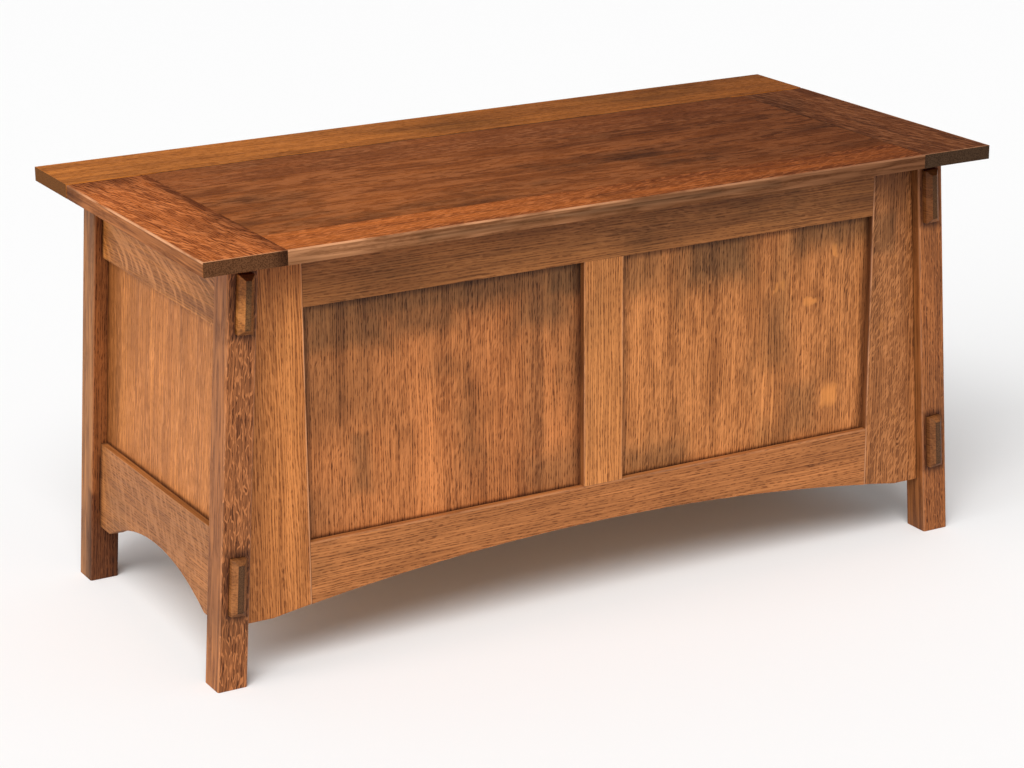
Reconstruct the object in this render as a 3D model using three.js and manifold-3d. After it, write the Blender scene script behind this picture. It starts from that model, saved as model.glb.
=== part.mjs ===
// Blanket chest: flared posts, frame and panel walls, arched lower rails and a lid
// hinged to a fixed strip along the back.
// Millimetres. X runs along the length, Y from front to back, Z up from the floor.
import * as THREE from 'three';
import { mergeVertices } from 'three/addons/utils/BufferGeometryUtils.js';
import Module from 'manifold-3d';

const wasm = await Module();
wasm.setup();

// Gaps that every fit shares
const fitGap = 0.3;
const overrun = 20;

// Overall size
const lidLength = 1168.4;
const lidDepth = 561.3;
const lidThickness = 19.05;
const carcassHeight = 550.4;
const frontOverhang = 40.5;
const backOverhang = 47.6;

// Posts
const postSquare = 40.6;
const postArris = 3;
const footInset = 12.7;
const flare = THREE.MathUtils.degToRad(3.84);

// Wall frames
const frontReveal = 14.4;
const sideReveal = 12.2;
const frameThickness = 20.6;
const outerStileTopWidth = 62.9;
const centreStileWidth = 59.4;
const frontTopRailWidth = 72.5;
const frontRailTop = 169.4;
const sideTopRailWidth = 93.9;
const sideRailTop = 197;

// Arches under the lower rails
const landHeight = 78;
const frontLandWidth = 40.6;
const frontArchRise = 39;
const sideLandWidth = 36;
const sideArchRise = 39.4;
const archSteps = 24;

// Through tenons of the side rails
const tenonWidth = 75;
const tenonProud = 13;
const tenonChamfer = 6.5;
const tenonRoot = 30;
const topTenonDrop = 13;
const bottomTenonBase = 100.6;

// Panels and their grooves
const panelThickness = 6.35;
const panelSetBack = 9.5;
const grooveDepth = 8;
const seasonalPlay = 1.2;

// Floor of the box
const floorThickness = 12.7;
const floorUnderside = 135;
const floorPlay = 1.5;
const cleatWidth = 19;
const cleatHeight = 15;
const cleatEndPlay = 6;

// Lid boards and the fixed strip behind them
const endBoardWidth = 110.2;
const lidFrontRailWidth = 76.2;
const lidBackRailWidth = 101.6;
const stripWidth = 116;
const lidJointGap = 1.5;
const jointChamfer = 1.5;
const lidTongue = 6.35;
const tongueStop = 12;
const stripCleatEndPlay = 6;
const stripScrewCount = 5;

// Continuous hinge
const hingeEndInset = 127;
const knuckleCount = 36;
const knuckleRadius = 1.6;
const knuckleGap = 0.4;
const knuckleSides = 12;
const hingePinRadius = 0.75;
const leafThickness = 1;
const leafDrop = 14;
const leafScrewCount = 12;
const leafScrewDrop = 9;

// Countersunk wood screws
const screw = { headRadius: 2.6, headDepth: 1.6, shankRadius: 1.3, length: 13, sides: 10 };

// Lid stays: a slotted arm each side, pinned to the lid and riding on a stud in the side rail
const lidOpening = THREE.MathUtils.degToRad(100);
const stayPivotForward = 150;
const stayPivotDrop = 31;
const stayStudLag = THREE.MathUtils.degToRad(15);
const armThickness = 2.5;
const armWidth = 14;
const armTailLength = 9;
const armInset = 17;
const studRadius = 3;
const studHeadRadius = 5.5;
const studHeadThickness = 2.4;
const slotPlay = 0.4;
const slotEndPlay = 1.5;
const plateThickness = 2.5;
const plateLength = 46;
const plateHeight = 22;
const plateScrewOffset = 16;
const bracketThickness = 2.2;
const bracketLength = 44;
const bracketFlange = 17;
const bracketScrewOffset = 15;
const roundSides = 16;

// Places worked out from the sizes above
const footHalfSpread = lidLength / 2 - footInset;
const halfDepth = lidDepth / 2;
const frontFace = frontOverhang - halfDepth;
const backFace = halfDepth - backOverhang;
const midDepth = (frontFace + backFace) / 2;
const frontPostInner = frontFace + postSquare;
const backPostInner = backFace - postSquare;
const topPostInner = -leanX(carcassHeight, postSquare);
const stileInnerHalf = topPostInner - outerStileTopWidth;
const frontArch = {
  halfSpan: -leanX(landHeight, postSquare) - frontLandWidth,
  rise: frontArchRise,
};
const sideArch = {
  halfSpan: (backPostInner - frontPostInner) / 2 - sideLandWidth,
  rise: sideArchRise,
};
const frameFront = frontFace + frontReveal;
const frameBack = frameFront + frameThickness;
const frontRailUnder = carcassHeight - frontTopRailWidth;
const sideRailUnder = carcassHeight - sideTopRailWidth;
const panelFront = frameFront + panelSetBack;
const tongueLength = grooveDepth - fitGap;
const lidTop = carcassHeight + lidThickness;
const stripFront = halfDepth - stripWidth;
const lidBack = stripFront - lidJointGap;
const hingeY = stripFront - lidJointGap / 2;
const hingeZ = lidTop - knuckleRadius;

// Wood and metal colours
const WOOD = { roughness: 0.45, metalness: 0 };
const METAL = { roughness: 0.4, metalness: 0.8 };
const colours = {
  post: 0x8f5a30, stile: 0x96602f, rail: 0x8a5429, panel: 0x7d4a26, sidePanel: 0xa8693a,
  lidEnd: 0x93511f, lidRail: 0xa86430, lidPanel: 0x74401f, strip: 0xb0622a, inner: 0xb58a58,
  hinge: 0x4a3a2a, screw: 0x6a5a45,
};

const chest = new THREE.Group();
chest.name = 'blanket_chest';

// Solids

function solidOf(geometry) {
  const bare = geometry.clone();
  bare.deleteAttribute('normal');
  bare.deleteAttribute('uv');
  const merged = mergeVertices(bare);
  return new wasm.Manifold(new wasm.Mesh({
    numProp: 3,
    vertProperties: new Float32Array(merged.attributes.position.array),
    triVerts: new Uint32Array(merged.index.array),
  }));
}

function geometryOf(solid) {
  const mesh = solid.getMesh();
  const geometry = new THREE.BufferGeometry();
  const positions = new Float32Array(mesh.vertProperties);
  geometry.setAttribute('position', new THREE.BufferAttribute(positions, 3));
  geometry.setIndex(new THREE.BufferAttribute(new Uint32Array(mesh.triVerts), 1));
  geometry.computeVertexNormals();
  return geometry;
}

function joined(...geometries) {
  return geometries.map(solidOf).reduce((whole, piece) => whole.add(piece));
}

function cut(solid, ...geometries) {
  return geometries.reduce((rest, tool) => rest.subtract(solidOf(tool)), solid);
}

function block(x0, x1, y0, y1, z0, z1) {
  const geometry = new THREE.BoxGeometry(x1 - x0, y1 - y0, z1 - z0);
  return geometry.translate((x0 + x1) / 2, (y0 + y1) / 2, (z0 + z1) / 2);
}

function shapeOf(points) {
  return new THREE.Shape(points.map(([across, up]) => new THREE.Vector2(across, up)));
}

// A front view outline in X and Z, given depth from y0 to y1
function frontOutline(points, y0, y1) {
  const geometry = new THREE.ExtrudeGeometry(shapeOf(points), { depth: y1 - y0, bevelEnabled: false });
  return geometry.rotateX(Math.PI / 2).translate(0, y1, 0);
}

// A side view outline in Y and Z, given thickness from x0 to x1
function sideOutline(shape, x0, x1, curveSegments = roundSides) {
  const options = { depth: x1 - x0, bevelEnabled: false, curveSegments };
  const turn = new THREE.Matrix4().makeBasis(
    new THREE.Vector3(0, 1, 0), new THREE.Vector3(0, 0, 1), new THREE.Vector3(1, 0, 0));
  return new THREE.ExtrudeGeometry(shape, options).applyMatrix4(turn).translate(x0, 0, 0);
}

function mirroredX(geometry) {
  return reversed(geometry.clone().scale(-1, 1, 1));
}

function mirroredY(geometry, plane) {
  return reversed(geometry.clone().scale(1, -1, 1).translate(0, 2 * plane, 0));
}

function reversed(geometry) {
  const index = geometry.index.array;
  for (let i = 0; i < index.length; i += 3) {
    [index[i], index[i + 1]] = [index[i + 1], index[i]];
  }
  geometry.computeVertexNormals();
  return geometry;
}

function addPiece(name, geometry, colour, finish = WOOD) {
  const mesh = new THREE.Mesh(geometry, new THREE.MeshStandardMaterial({ color: colour, ...finish }));
  mesh.name = name;
  chest.add(mesh);
}

// One piece and its twin at the other end of the chest
function addPair(name, geometry, colour, finish = WOOD) {
  addPiece(`${name}_left`, geometry, colour, finish);
  addPiece(`${name}_right`, mirroredX(geometry), colour, finish);
}

// Leaning wall frame of the left end: x in from the posts' outer face, z along their slope

const leftLean = new THREE.Matrix4().makeRotationY(flare).setPosition(-footHalfSpread, 0, 0);

function leaning(geometry) {
  return geometry.applyMatrix4(leftLean);
}

function alongSlope(z, inset = sideReveal) {
  return (z + inset * Math.sin(flare)) / Math.cos(flare);
}

// World X of a plane that lies inset behind the left posts' outer face, at height z
function leanX(z, inset) {
  return -footHalfSpread + z * Math.tan(flare) + inset / Math.cos(flare);
}

function aboveCarcass() {
  const reach = lidLength;
  return block(-reach, reach, -reach, reach, carcassHeight, carcassHeight + overrun * 2);
}

function belowFloor() {
  const reach = lidLength;
  return block(-reach, reach, -reach, reach, -overrun * 2, 0);
}

// Height of an arch's underside at a distance from its middle
function archHeight(arch, across) {
  const radius = (arch.halfSpan ** 2 + arch.rise ** 2) / (2 * arch.rise);
  const centre = landHeight + arch.rise - radius;
  return Math.max(landHeight, centre + Math.sqrt(radius ** 2 - across ** 2));
}

function archPoints(arch, from, to) {
  const points = [];
  for (let i = 0; i <= archSteps; i += 1) {
    const across = THREE.MathUtils.lerp(from, to, i / archSteps);
    points.push([across, archHeight(arch, across)]);
  }
  return points;
}

// Tenon through the front left post, as thick as its rail and with a broad chamfer round its end,
// or the mortise that takes it
function tenon([bottom, top], gap = 0) {
  const tip = gap > 0 ? 0 : tenonChamfer;
  const [x0, x1] = [sideReveal - gap, endWall.inner + gap];
  const [z0, z1] = [alongSlope(bottom) - gap, alongSlope(top) + gap];
  const [y0, y1] = [frontFace - tenonProud - gap, frontPostInner + tenonRoot];
  const outline = shapeOf([[x0, z0], [x1, z0], [x1, z1], [x0, z1]]);
  const geometry = new THREE.ExtrudeGeometry(outline, {
    depth: y1 - y0 - 2 * tip,
    bevelEnabled: tip > 0,
    bevelThickness: tip,
    bevelSize: tip,
    bevelOffset: -tip,
    bevelSegments: 1,
  });
  return leaning(mergeVertices(geometry).rotateX(Math.PI / 2).translate(0, y1 - tip, 0));
}

const tenonSpans = {
  top: [carcassHeight - topTenonDrop - tenonWidth, carcassHeight - topTenonDrop],
  bottom: [bottomTenonBase, bottomTenonBase + tenonWidth],
};

// Posts

function post() {
  const r = postArris;
  const outline = new THREE.Shape();
  outline.moveTo(r, 0);
  outline.absarc(postSquare - r, r, r, -Math.PI / 2, 0);
  outline.absarc(postSquare - r, postSquare - r, r, 0, Math.PI / 2);
  outline.absarc(r, postSquare - r, r, Math.PI / 2, Math.PI);
  outline.absarc(r, r, r, Math.PI, Math.PI * 1.5);
  const length = alongSlope(carcassHeight) + 2 * overrun;
  const stock = new THREE.ExtrudeGeometry(outline, { depth: length, bevelEnabled: false, curveSegments: 4 });
  stock.translate(0, frontFace, -overrun);
  const inset = sideReveal + panelSetBack;
  const groove = block(
    inset - fitGap, inset + panelThickness + fitGap,
    frontPostInner - grooveDepth, frontPostInner + overrun,
    alongSlope(sideRailTop) - grooveDepth, alongSlope(sideRailUnder) + grooveDepth);
  return geometryOf(cut(
    solidOf(leaning(stock)), aboveCarcass(), belowFloor(), leaning(groove),
    tenon(tenonSpans.top, fitGap), tenon(tenonSpans.bottom, fitGap)));
}

function addPosts() {
  const front = post();
  addPair('post_front', front, colours.post);
  addPair('post_back', mirroredY(front, midDepth), colours.post);
}

// Front and back walls

function panelGroove(x0, x1, z0, z1) {
  return block(x0, x1, panelFront - fitGap, panelFront + panelThickness + fitGap, z0, z1);
}

function tongueOutline(points) {
  return frontOutline(points, panelFront, panelFront + panelThickness);
}

function rectangle(x0, x1, z0, z1) {
  return [[x0, z0], [x1, z0], [x1, z1], [x0, z1]];
}

function frameMember(body, tongue, ...grooves) {
  const stock = joined(frontOutline(body, frameFront, frameBack), tongueOutline(tongue));
  return geometryOf(cut(stock, ...grooves));
}

function outerStile() {
  const postEdge = (z) => leanX(z, postSquare) + fitGap;
  const outline = [
    [postEdge(carcassHeight), carcassHeight],
    [postEdge(landHeight), landHeight],
    ...archPoints(frontArch, -frontArch.halfSpan, -stileInnerHalf),
    [-stileInnerHalf, carcassHeight],
  ];
  const groove = panelGroove(
    -stileInnerHalf - grooveDepth, -stileInnerHalf + overrun, -overrun, carcassHeight + overrun);
  return geometryOf(cut(solidOf(frontOutline(outline, frameFront, frameBack)), groove));
}

function topRail() {
  const reach = stileInnerHalf + tongueLength;
  return frameMember(
    rectangle(-stileInnerHalf, stileInnerHalf, frontRailUnder, carcassHeight),
    rectangle(-reach, reach, frontRailUnder, carcassHeight),
    panelGroove(-reach - overrun, reach + overrun, frontRailUnder - overrun, frontRailUnder + grooveDepth));
}

function archedRail() {
  const reach = stileInnerHalf + tongueLength;
  const outline = (half) => [
    ...archPoints(frontArch, -half, half), [half, frontRailTop], [-half, frontRailTop],
  ];
  return frameMember(
    outline(stileInnerHalf), outline(reach),
    panelGroove(-reach - overrun, reach + overrun, frontRailTop - grooveDepth, frontRailTop + overrun));
}

function centreStile() {
  const half = centreStileWidth / 2;
  const sideGroove = (x0, x1) => panelGroove(x0, x1, frontRailTop - overrun, frontRailUnder + overrun);
  return frameMember(
    rectangle(-half, half, frontRailTop, frontRailUnder),
    rectangle(-half, half, frontRailTop - tongueLength, frontRailUnder + tongueLength),
    sideGroove(-half - overrun, -half + grooveDepth),
    sideGroove(half - grooveDepth, half + overrun));
}

function wallPanel() {
  return block(
    -stileInnerHalf - grooveDepth + seasonalPlay, -centreStileWidth / 2 + grooveDepth - seasonalPlay,
    panelFront, panelFront + panelThickness,
    frontRailTop - grooveDepth + fitGap, frontRailUnder + grooveDepth - seasonalPlay);
}

function addLongWall(side, placed) {
  addPair(`${side}_stile`, placed(outerStile()), colours.stile);
  addPiece(`${side}_center_stile`, placed(centreStile()), colours.stile);
  addPiece(`${side}_top_rail`, placed(topRail()), colours.rail);
  addPiece(`${side}_arched_rail`, placed(archedRail()), colours.rail);
  addPair(`${side}_panel`, placed(wallPanel()), colours.panel);
}

// End walls

const endWall = {
  y0: frontPostInner + fitGap,
  y1: backPostInner - fitGap,
  inner: sideReveal + frameThickness,
};

function endRailGroove(z0, z1) {
  const inset = sideReveal + panelSetBack;
  return leaning(block(
    inset - fitGap, inset + panelThickness + fitGap,
    frontPostInner - grooveDepth, backPostInner + grooveDepth, z0, z1));
}

// Rail and through tenons in one, with the panel's groove stopped inside the posts
function endRail(outline, tenonSpan, grooveFrom, grooveTo, ...cuts) {
  const body = leaning(sideOutline(shapeOf(outline), sideReveal, endWall.inner));
  return geometryOf(cut(
    joined(body, tenon(tenonSpan), mirroredY(tenon(tenonSpan), midDepth)),
    endRailGroove(grooveFrom, grooveTo), aboveCarcass(), ...cuts));
}

function endTopRail() {
  const under = alongSlope(sideRailUnder);
  const top = alongSlope(carcassHeight) + overrun;
  const { y0, y1 } = endWall;
  return endRail([[y0, under], [y1, under], [y1, top], [y0, top]],
    tenonSpans.top, under - overrun, under + grooveDepth, ...plateScrews(screwHole));
}

function endArchedRail() {
  const { y0, y1 } = endWall;
  const top = alongSlope(sideRailTop);
  const arch = archPoints(sideArch, -sideArch.halfSpan, sideArch.halfSpan);
  const outline = [
    [y0, alongSlope(landHeight)],
    ...arch.map(([across, z]) => [midDepth + across, alongSlope(z)]),
    [y1, alongSlope(landHeight)], [y1, top], [y0, top],
  ];
  return endRail(outline, tenonSpans.bottom, top - grooveDepth, top + overrun);
}

function endPanel() {
  const inset = sideReveal + panelSetBack;
  return leaning(block(
    inset, inset + panelThickness,
    frontPostInner - grooveDepth + seasonalPlay, backPostInner + grooveDepth - seasonalPlay,
    alongSlope(sideRailTop) - grooveDepth + fitGap,
    alongSlope(sideRailUnder) + grooveDepth - seasonalPlay));
}

function addEndWalls() {
  addPair('side_top_rail', endTopRail(), colours.rail);
  addPair('side_arched_rail', endArchedRail(), colours.rail);
  addPair('side_panel', endPanel(), colours.sidePanel);
}

// Floor and its cleats

const floorTop = floorUnderside + floorThickness;

function floorBoard() {
  const outer = -leanX(floorTop, endWall.inner) - floorPlay;
  const atPosts = -leanX(floorTop, postSquare) - floorPlay;
  const [y0, y1] = [frameBack + floorPlay, 2 * midDepth - frameBack - floorPlay];
  const [post0, post1] = [frontPostInner + floorPlay, backPostInner - floorPlay];
  const outline = shapeOf([
    [-atPosts, y0], [atPosts, y0], [atPosts, post0], [outer, post0], [outer, post1], [atPosts, post1],
    [atPosts, y1], [-atPosts, y1], [-atPosts, post1], [-outer, post1], [-outer, post0], [-atPosts, post0],
  ]);
  return new THREE.ExtrudeGeometry(outline, { depth: floorThickness, bevelEnabled: false })
    .translate(0, 0, floorUnderside);
}

function longCleat() {
  const half = -leanX(floorUnderside, postSquare) - cleatEndPlay;
  return block(
    -half, half, frameBack + fitGap, frameBack + cleatWidth,
    floorUnderside - cleatHeight, floorUnderside);
}

function endCleat() {
  const low = floorUnderside - cleatHeight;
  const edge = (z) => leanX(z, endWall.inner) + fitGap;
  const outline = [
    [edge(low), low], [edge(low) + cleatWidth, low],
    [edge(low) + cleatWidth, floorUnderside], [edge(floorUnderside), floorUnderside],
  ];
  const y0 = frameBack + cleatWidth + cleatEndPlay;
  return frontOutline(outline, y0, 2 * midDepth - y0);
}

function addFloor() {
  addPiece('floor_panel', floorBoard(), colours.inner);
  addPiece('floor_cleat_front', longCleat(), colours.inner);
  addPiece('floor_cleat_back', mirroredY(longCleat(), midDepth), colours.inner);
  addPair('floor_cleat', mergeVertices(endCleat()), colours.inner);
}

// Screws

function turned(profile, sides) {
  return new THREE.LatheGeometry(profile.map(([r, h]) => new THREE.Vector2(r, h)), sides);
}

// Head at the origin, shank along +Y
function screwBody(length) {
  const { headRadius, headDepth, shankRadius, sides } = screw;
  return turned(
    [[0, 0], [headRadius, 0], [shankRadius, headDepth], [shankRadius, length], [0, length]], sides);
}

// The countersunk hole that a screw of this length sits in
function screwHole(length) {
  const { headRadius, headDepth, shankRadius, sides } = screw;
  const [head, shank, end] = [headRadius + fitGap, shankRadius + fitGap, length + fitGap];
  return turned(
    [[0, -fitGap], [head, -fitGap], [head, fitGap], [shank, headDepth + fitGap], [shank, end], [0, end]],
    sides);
}

function rowOf(count, spacing) {
  return Array.from({ length: count }, (_, i) => (i - (count - 1) / 2) * spacing);
}

// Fixed strip, with the cleat that carries it

const hingeLength = lidLength - 2 * hingeEndInset;
const stripCleatHalf = topPostInner - stripCleatEndPlay;
const leafScrewPlaces = rowOf(leafScrewCount, hingeLength / leafScrewCount);
const stripScrewPlaces = rowOf(stripScrewCount, 2 * stripCleatHalf / stripScrewCount);
const innerBack = 2 * midDepth - frameBack - fitGap;
const stripCleatY = innerBack - cleatWidth / 2;
const stripCleatUnder = carcassHeight - cleatWidth;
const stripScrewLength = cleatWidth + lidThickness / 2;

function stripScrewAt(x, geometry) {
  return geometry.rotateX(Math.PI / 2).translate(x, stripCleatY, stripCleatUnder);
}

// Room around the hinge, cut alike from the strip and from the lid
function hingeRoom() {
  const half = hingeLength / 2 + fitGap;
  const channel = new THREE.CylinderGeometry(
    knuckleRadius + knuckleGap, knuckleRadius + knuckleGap, 2 * half, knuckleSides * 2);
  const face = stripFront - hingeY;
  const mortise = block(
    -half, half, hingeY - overrun, hingeY + face + leafThickness + fitGap,
    hingeZ - leafDrop - fitGap, hingeZ);
  const screws = leafScrewPlaces.map((x) => (
    screwHole(screw.length).translate(x, stripFront, hingeZ - leafScrewDrop)));
  return [channel.rotateZ(Math.PI / 2).translate(0, hingeY, hingeZ), mortise, ...screws];
}

// Chamfer along the top of the joint, which lets the lid turn past upright
function jointEase(face) {
  const reach = lidLength / 2 + overrun;
  const outline = shapeOf([
    [face - overrun, lidTop - jointChamfer], [face, lidTop - jointChamfer],
    [face + jointChamfer, lidTop], [face + jointChamfer, lidTop + overrun],
    [face - overrun, lidTop + overrun],
  ]);
  return sideOutline(outline, -reach, reach);
}

function backStrip() {
  const half = lidLength / 2;
  const stock = solidOf(block(-half, half, stripFront, halfDepth, carcassHeight, lidTop));
  const pilots = stripScrewPlaces.map((x) => stripScrewAt(x, screwHole(stripScrewLength)));
  return geometryOf(cut(stock, jointEase(stripFront), ...hingeRoom(), ...pilots));
}

function stripCleat() {
  const stock = solidOf(block(
    -stripCleatHalf, stripCleatHalf, innerBack - cleatWidth, innerBack, stripCleatUnder, carcassHeight));
  const pilots = stripScrewPlaces.map((x) => stripScrewAt(x, screwHole(stripScrewLength)));
  return geometryOf(cut(stock, ...pilots));
}

function addStrip() {
  addPiece('top_back_strip', backStrip(), colours.strip);
  addPiece('strip_cleat', stripCleat(), colours.inner);
  stripScrewPlaces.forEach((x, i) => {
    addPiece(`strip_screw_${i + 1}`, stripScrewAt(x, screwBody(stripScrewLength)), colours.screw, METAL);
  });
}

// Lid

const lidInnerHalf = lidLength / 2 - endBoardWidth;
const lidPanelFront = lidFrontRailWidth - halfDepth;
const lidPanelBack = lidBack - lidBackRailWidth;
const tongueZ = carcassHeight + (lidThickness - lidTongue) / 2;
const tongueFront = tongueStop - halfDepth;
const tongueBack = lidBack - tongueStop;

function lidGroove(x0, x1, y0, y1) {
  return block(x0, x1, y0, y1, tongueZ - fitGap, tongueZ + lidTongue + fitGap);
}

// The same room as in the strip, turned round to the lid's side of the joint
function lidHingeCuts() {
  const room = [...hingeRoom(), jointEase(stripFront)];
  return room.map((tool) => mirroredY(mergeVertices(tool), hingeY));
}

function lidEndBoard() {
  const outer = -lidLength / 2;
  const stock = solidOf(block(outer, -lidInnerHalf, -halfDepth, lidBack, carcassHeight, lidTop));
  const groove = lidGroove(
    -lidInnerHalf - grooveDepth, -lidInnerHalf + overrun, tongueFront - fitGap, tongueBack + fitGap);
  return geometryOf(cut(stock, groove, ...lidHingeCuts(), ...bracketScrews(screwHole)));
}

function lidRail(y0, y1, grooveY0, grooveY1, ...cuts) {
  const reach = lidInnerHalf + tongueLength;
  const body = joined(
    block(-lidInnerHalf, lidInnerHalf, y0, y1, carcassHeight, lidTop),
    block(-reach, reach, Math.max(y0, tongueFront), Math.min(y1, tongueBack), tongueZ, tongueZ + lidTongue));
  return geometryOf(cut(body, lidGroove(-reach - overrun, reach + overrun, grooveY0, grooveY1), ...cuts));
}

function lidPanel() {
  const halfX = lidInnerHalf - fitGap;
  const [y0, y1] = [lidPanelFront + fitGap, lidPanelBack - fitGap];
  const reach = grooveDepth - seasonalPlay;
  return geometryOf(joined(
    block(-halfX, halfX, y0, y1, carcassHeight, lidTop),
    block(-halfX - reach, halfX + reach, y0 - reach, y1 + reach, tongueZ, tongueZ + lidTongue)));
}

function addLid() {
  addPair('lid_end_board', lidEndBoard(), colours.lidEnd);
  addPiece('lid_front_rail', lidRail(
    -halfDepth, lidPanelFront, lidPanelFront - grooveDepth, lidPanelFront + overrun), colours.lidRail);
  addPiece('lid_back_rail', lidRail(
    lidPanelBack, lidBack, lidPanelBack - overrun, lidPanelBack + grooveDepth,
    ...lidHingeCuts()), colours.lidPanel);
  addPiece('lid_panel', lidPanel(), colours.lidPanel);
}

// Continuous hinge

const knucklePitch = hingeLength / knuckleCount;
const boreRadius = hingePinRadius + fitGap;

function knuckle(index) {
  const x0 = (index - knuckleCount / 2) * knucklePitch + knuckleGap / 2;
  const x1 = x0 + knucklePitch - knuckleGap;
  const profile = [
    [boreRadius, x0], [knuckleRadius, x0], [knuckleRadius, x1], [boreRadius, x1], [boreRadius, x0],
  ];
  return { tube: turned(profile, knuckleSides).rotateZ(-Math.PI / 2), x0, x1 };
}

// Built about the pin on the strip's side, with its screws; the lid's leaf is its mirror image
function hingeLeaf(parity) {
  const face = stripFront - hingeY;
  const half = hingeLength / 2;
  const plateTop = -knuckleRadius - knuckleGap - fitGap;
  const parts = [block(-half, half, face, face + leafThickness, -leafDrop, plateTop)];
  for (let i = parity; i < knuckleCount; i += 2) {
    const { tube, x0, x1 } = knuckle(i);
    parts.push(tube, block(x0, x1, face, face + leafThickness, -leafDrop / 2, -boreRadius));
  }
  const screws = leafScrewPlaces.map((x) => screwBody(screw.length).translate(x, face, -leafScrewDrop));
  return geometryOf(joined(...parts, ...screws)).translate(0, hingeY, hingeZ);
}

function addHinge() {
  const half = hingeLength / 2;
  const pin = new THREE.CylinderGeometry(hingePinRadius, hingePinRadius, 2 * half, knuckleSides);
  addPiece('hinge_leaf_strip', hingeLeaf(0), colours.hinge, METAL);
  addPiece('hinge_leaf_lid', mirroredY(hingeLeaf(1), hingeY), colours.hinge, METAL);
  addPiece('hinge_pin', pin.rotateZ(Math.PI / 2).translate(0, hingeY, hingeZ), colours.screw, METAL);
}

// Lid stays

const stayRadius = Math.hypot(stayPivotForward, stayPivotDrop);
const pivotAngle = Math.atan2(stayPivotDrop, stayPivotForward);
const studAngle = pivotAngle + stayStudLag;
const pivot = { y: hingeY - stayPivotForward, z: hingeZ - stayPivotDrop };
const stud = {
  y: hingeY - stayRadius * Math.cos(studAngle),
  z: hingeZ - stayRadius * Math.sin(studAngle),
};
const chordShut = 2 * stayRadius * Math.sin(stayStudLag / 2);
const chordOpen = 2 * stayRadius * Math.sin((stayStudLag + lidOpening) / 2);
const railInnerX = (z) => leanX(z, endWall.inner);
const armOuterX = railInnerX(stud.z) + armInset + armThickness;
const armX0 = armOuterX + fitGap;
const armX1 = armX0 + armThickness;

// Slotted arm along its own length from the pivot, turned to point at the stud
function stayArm() {
  const radius = armWidth / 2;
  const length = chordOpen + studRadius + armTailLength;
  const outline = new THREE.Shape();
  outline.absarc(0, 0, radius, Math.PI / 2, Math.PI * 1.5);
  outline.absarc(length - radius, 0, radius, -Math.PI / 2, Math.PI / 2);
  const slotRadius = studRadius + slotPlay;
  const slot = new THREE.Path();
  slot.absarc(chordShut - slotEndPlay, 0, slotRadius, Math.PI / 2, Math.PI * 1.5);
  slot.absarc(chordOpen + slotEndPlay, 0, slotRadius, -Math.PI / 2, Math.PI / 2);
  const eye = new THREE.Path();
  eye.absarc(0, 0, slotRadius, 0, Math.PI * 2);
  outline.holes.push(slot, eye);
  const angle = Math.atan2(stud.z - pivot.z, stud.y - pivot.y);
  const arm = sideOutline(outline, armX0, armX1, roundSides / 2);
  return arm.rotateX(angle).translate(0, pivot.y, pivot.z);
}

// Round bar along X with a wider head at its inner end
function headedBar(x0, headX0, headX1, place) {
  const profile = [
    [0, x0], [studRadius, x0], [studRadius, headX0], [studHeadRadius, headX0], [studHeadRadius, headX1],
    [0, headX1],
  ];
  return turned(profile, roundSides).rotateZ(-Math.PI / 2).translate(0, place.y, place.z);
}

const studSlopeZ = alongSlope(stud.z, endWall.inner);

function studPlate() {
  const inner = endWall.inner + fitGap;
  const plate = block(
    inner, inner + plateThickness, stud.y - plateLength / 2, stud.y + plateLength / 2,
    studSlopeZ - plateHeight / 2, studSlopeZ + plateHeight / 2);
  const headX0 = armX1 + fitGap;
  const bar = headedBar(
    railInnerX(stud.z) + plateThickness / 2, headX0, headX0 + studHeadThickness, stud);
  return geometryOf(cut(joined(leaning(plate), bar), ...plateScrews(screwHole)));
}

function plateScrews(form) {
  const seat = endWall.inner + fitGap + plateThickness;
  return rowOf(2, 2 * plateScrewOffset).map((offset) => {
    const body = form(screw.length).rotateZ(Math.PI / 2);
    return leaning(body.translate(seat, stud.y + offset, studSlopeZ));
  });
}

function lidBracket() {
  const earX0 = armX1 + fitGap;
  const earX1 = earX0 + bracketThickness;
  const flangeUnder = carcassHeight - bracketThickness;
  const flange = block(
    earX1 - bracketThickness - bracketFlange, earX1,
    pivot.y - bracketLength / 2, pivot.y + bracketLength / 2, flangeUnder, carcassHeight);
  const radius = armWidth / 2;
  const ear = new THREE.Shape();
  ear.moveTo(pivot.y + radius, flangeUnder + bracketThickness / 2);
  ear.lineTo(pivot.y - radius, flangeUnder + bracketThickness / 2);
  ear.absarc(pivot.y, pivot.z, radius, Math.PI, Math.PI * 2);
  const rivetHead = armX0 - fitGap;
  const rivet = mirroredX(mergeVertices(
    headedBar(-earX1, -rivetHead, -rivetHead + studHeadThickness / 2, pivot)));
  const body = joined(flange, sideOutline(ear, earX0, earX1), rivet);
  return geometryOf(cut(body, ...bracketScrews(screwHole)));
}

function bracketScrews(form) {
  const x = armX0 - bracketFlange / 2;
  return rowOf(2, 2 * bracketScrewOffset).map((offset) => {
    const body = form(screw.length).rotateX(Math.PI / 2);
    return body.translate(x, pivot.y + offset, carcassHeight - bracketThickness);
  });
}

function addScrewPairs(name, screws) {
  screws.forEach((body, i) => addPair(`${name}_${i + 1}`, mergeVertices(body), colours.screw, METAL));
}

function addStays() {
  addPair('stay_arm', mergeVertices(stayArm()), colours.hinge, METAL);
  addPair('stay_stud_plate', studPlate(), colours.hinge, METAL);
  addPair('stay_lid_bracket', lidBracket(), colours.hinge, METAL);
  addScrewPairs('stay_plate_screw', plateScrews(screwBody));
  addScrewPairs('stay_bracket_screw', bracketScrews(screwBody));
}

addPosts();
addLongWall('front', (geometry) => mergeVertices(geometry));
addLongWall('back', (geometry) => mirroredY(mergeVertices(geometry), midDepth));
addEndWalls();
addFloor();
addStrip();
addLid();
addHinge();
addStays();

export default chest;
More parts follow.
